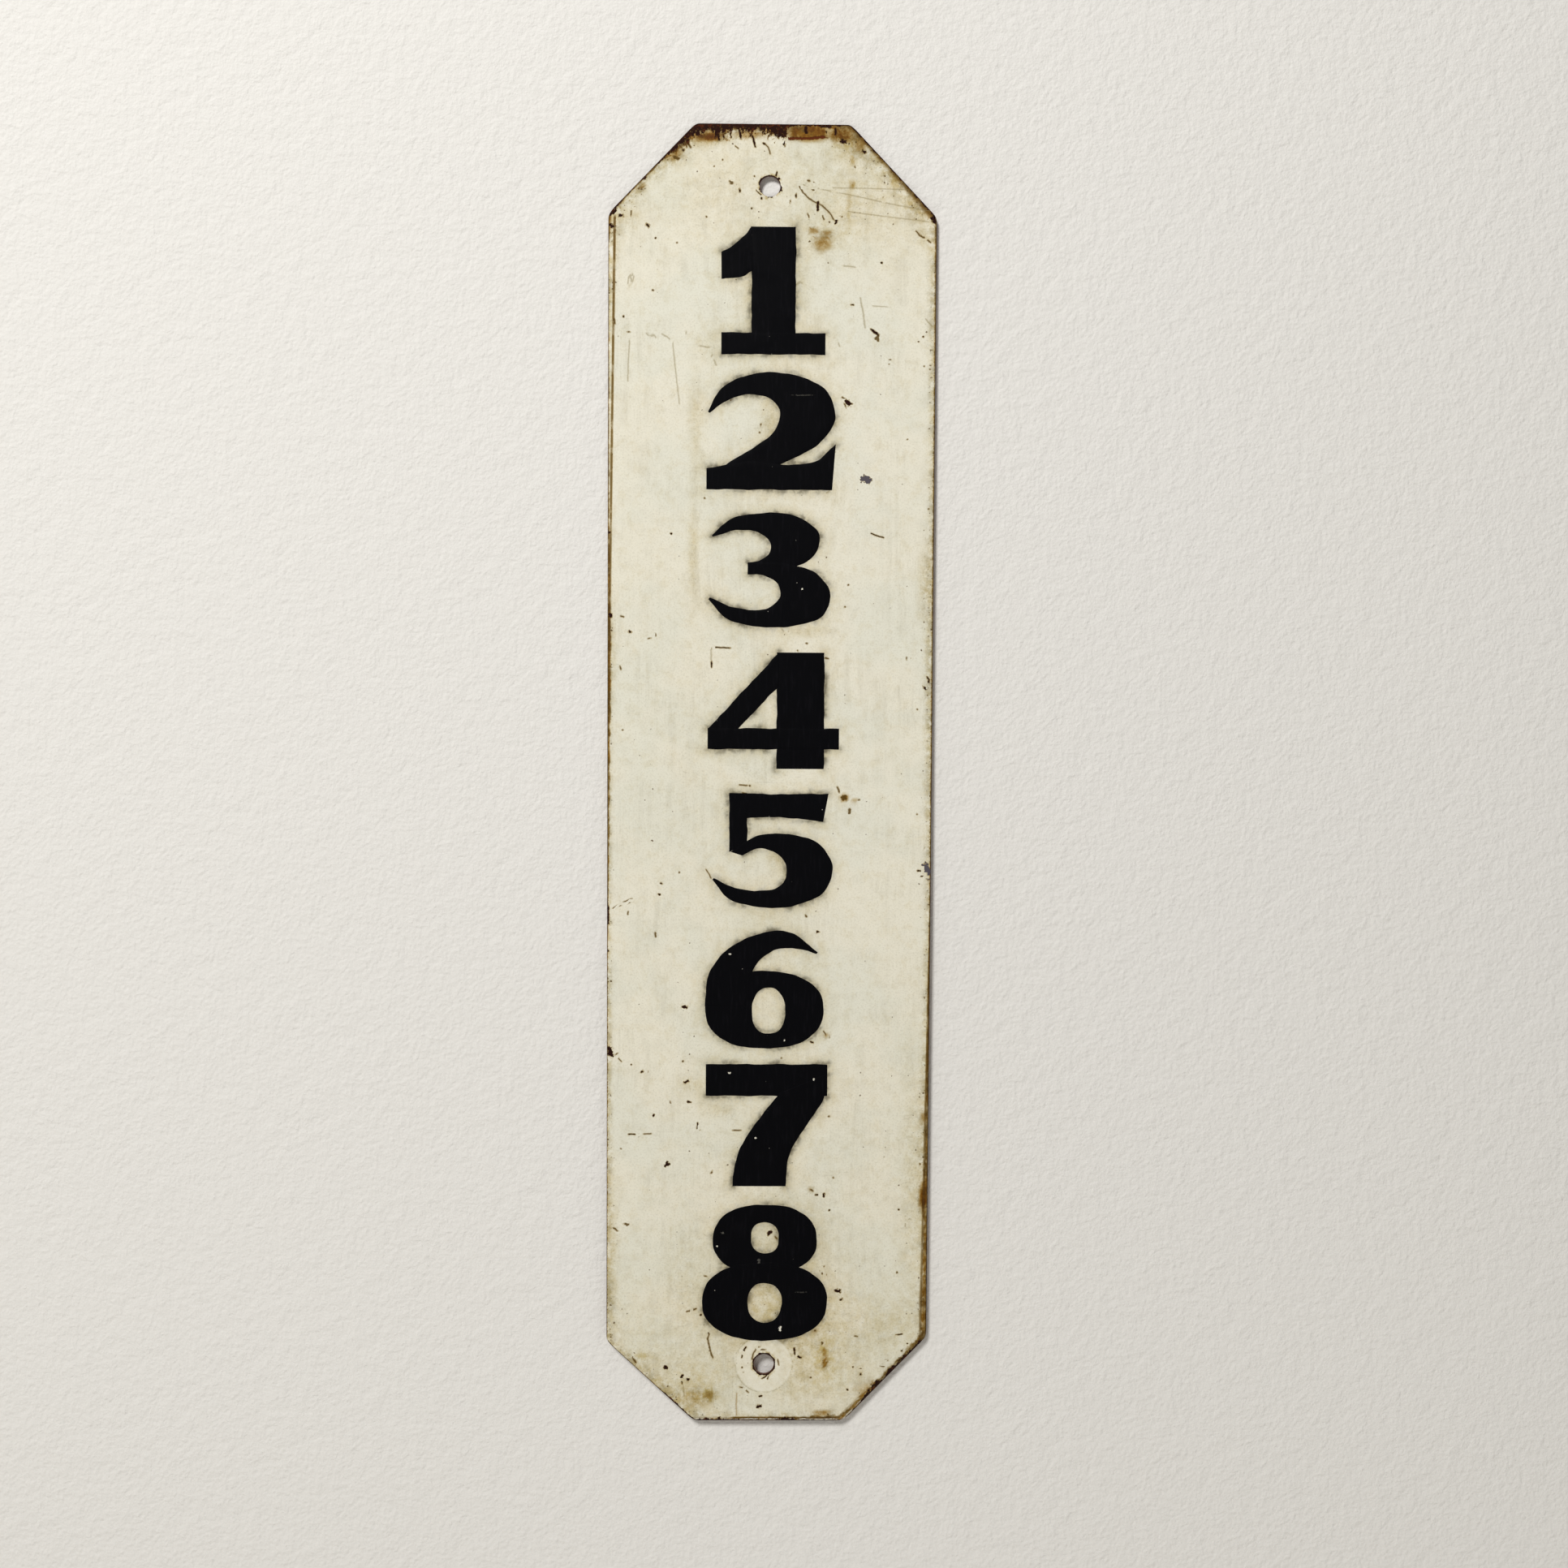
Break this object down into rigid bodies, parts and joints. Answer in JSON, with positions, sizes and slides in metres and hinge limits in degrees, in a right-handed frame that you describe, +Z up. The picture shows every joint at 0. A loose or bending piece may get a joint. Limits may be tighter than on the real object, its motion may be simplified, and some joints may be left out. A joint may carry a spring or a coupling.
{
  "type": "metal sign plate",
  "caption": "Tall wall sign cut from one steel sheet: an octagon with clipped corners, dressed edges and a fixing hole near each end.",
  "frame": {"origin": "on the flat of the back, midway between the two fixing holes", "axes": "+Z up the sign's length, +X to the reader's right, +Y out of the back towards the wall; the painted face looks towards -Y"},
  "size_m": [0.1524, 0.0026, 0.6095],
  "materials": {
    "painted_steel": "aged semi-gloss cream enamel with rusted and chipped edges"
  },
  "bodies": {
    "root": {"sign_plate": "painted_steel"}
  },
  "joints": []
}
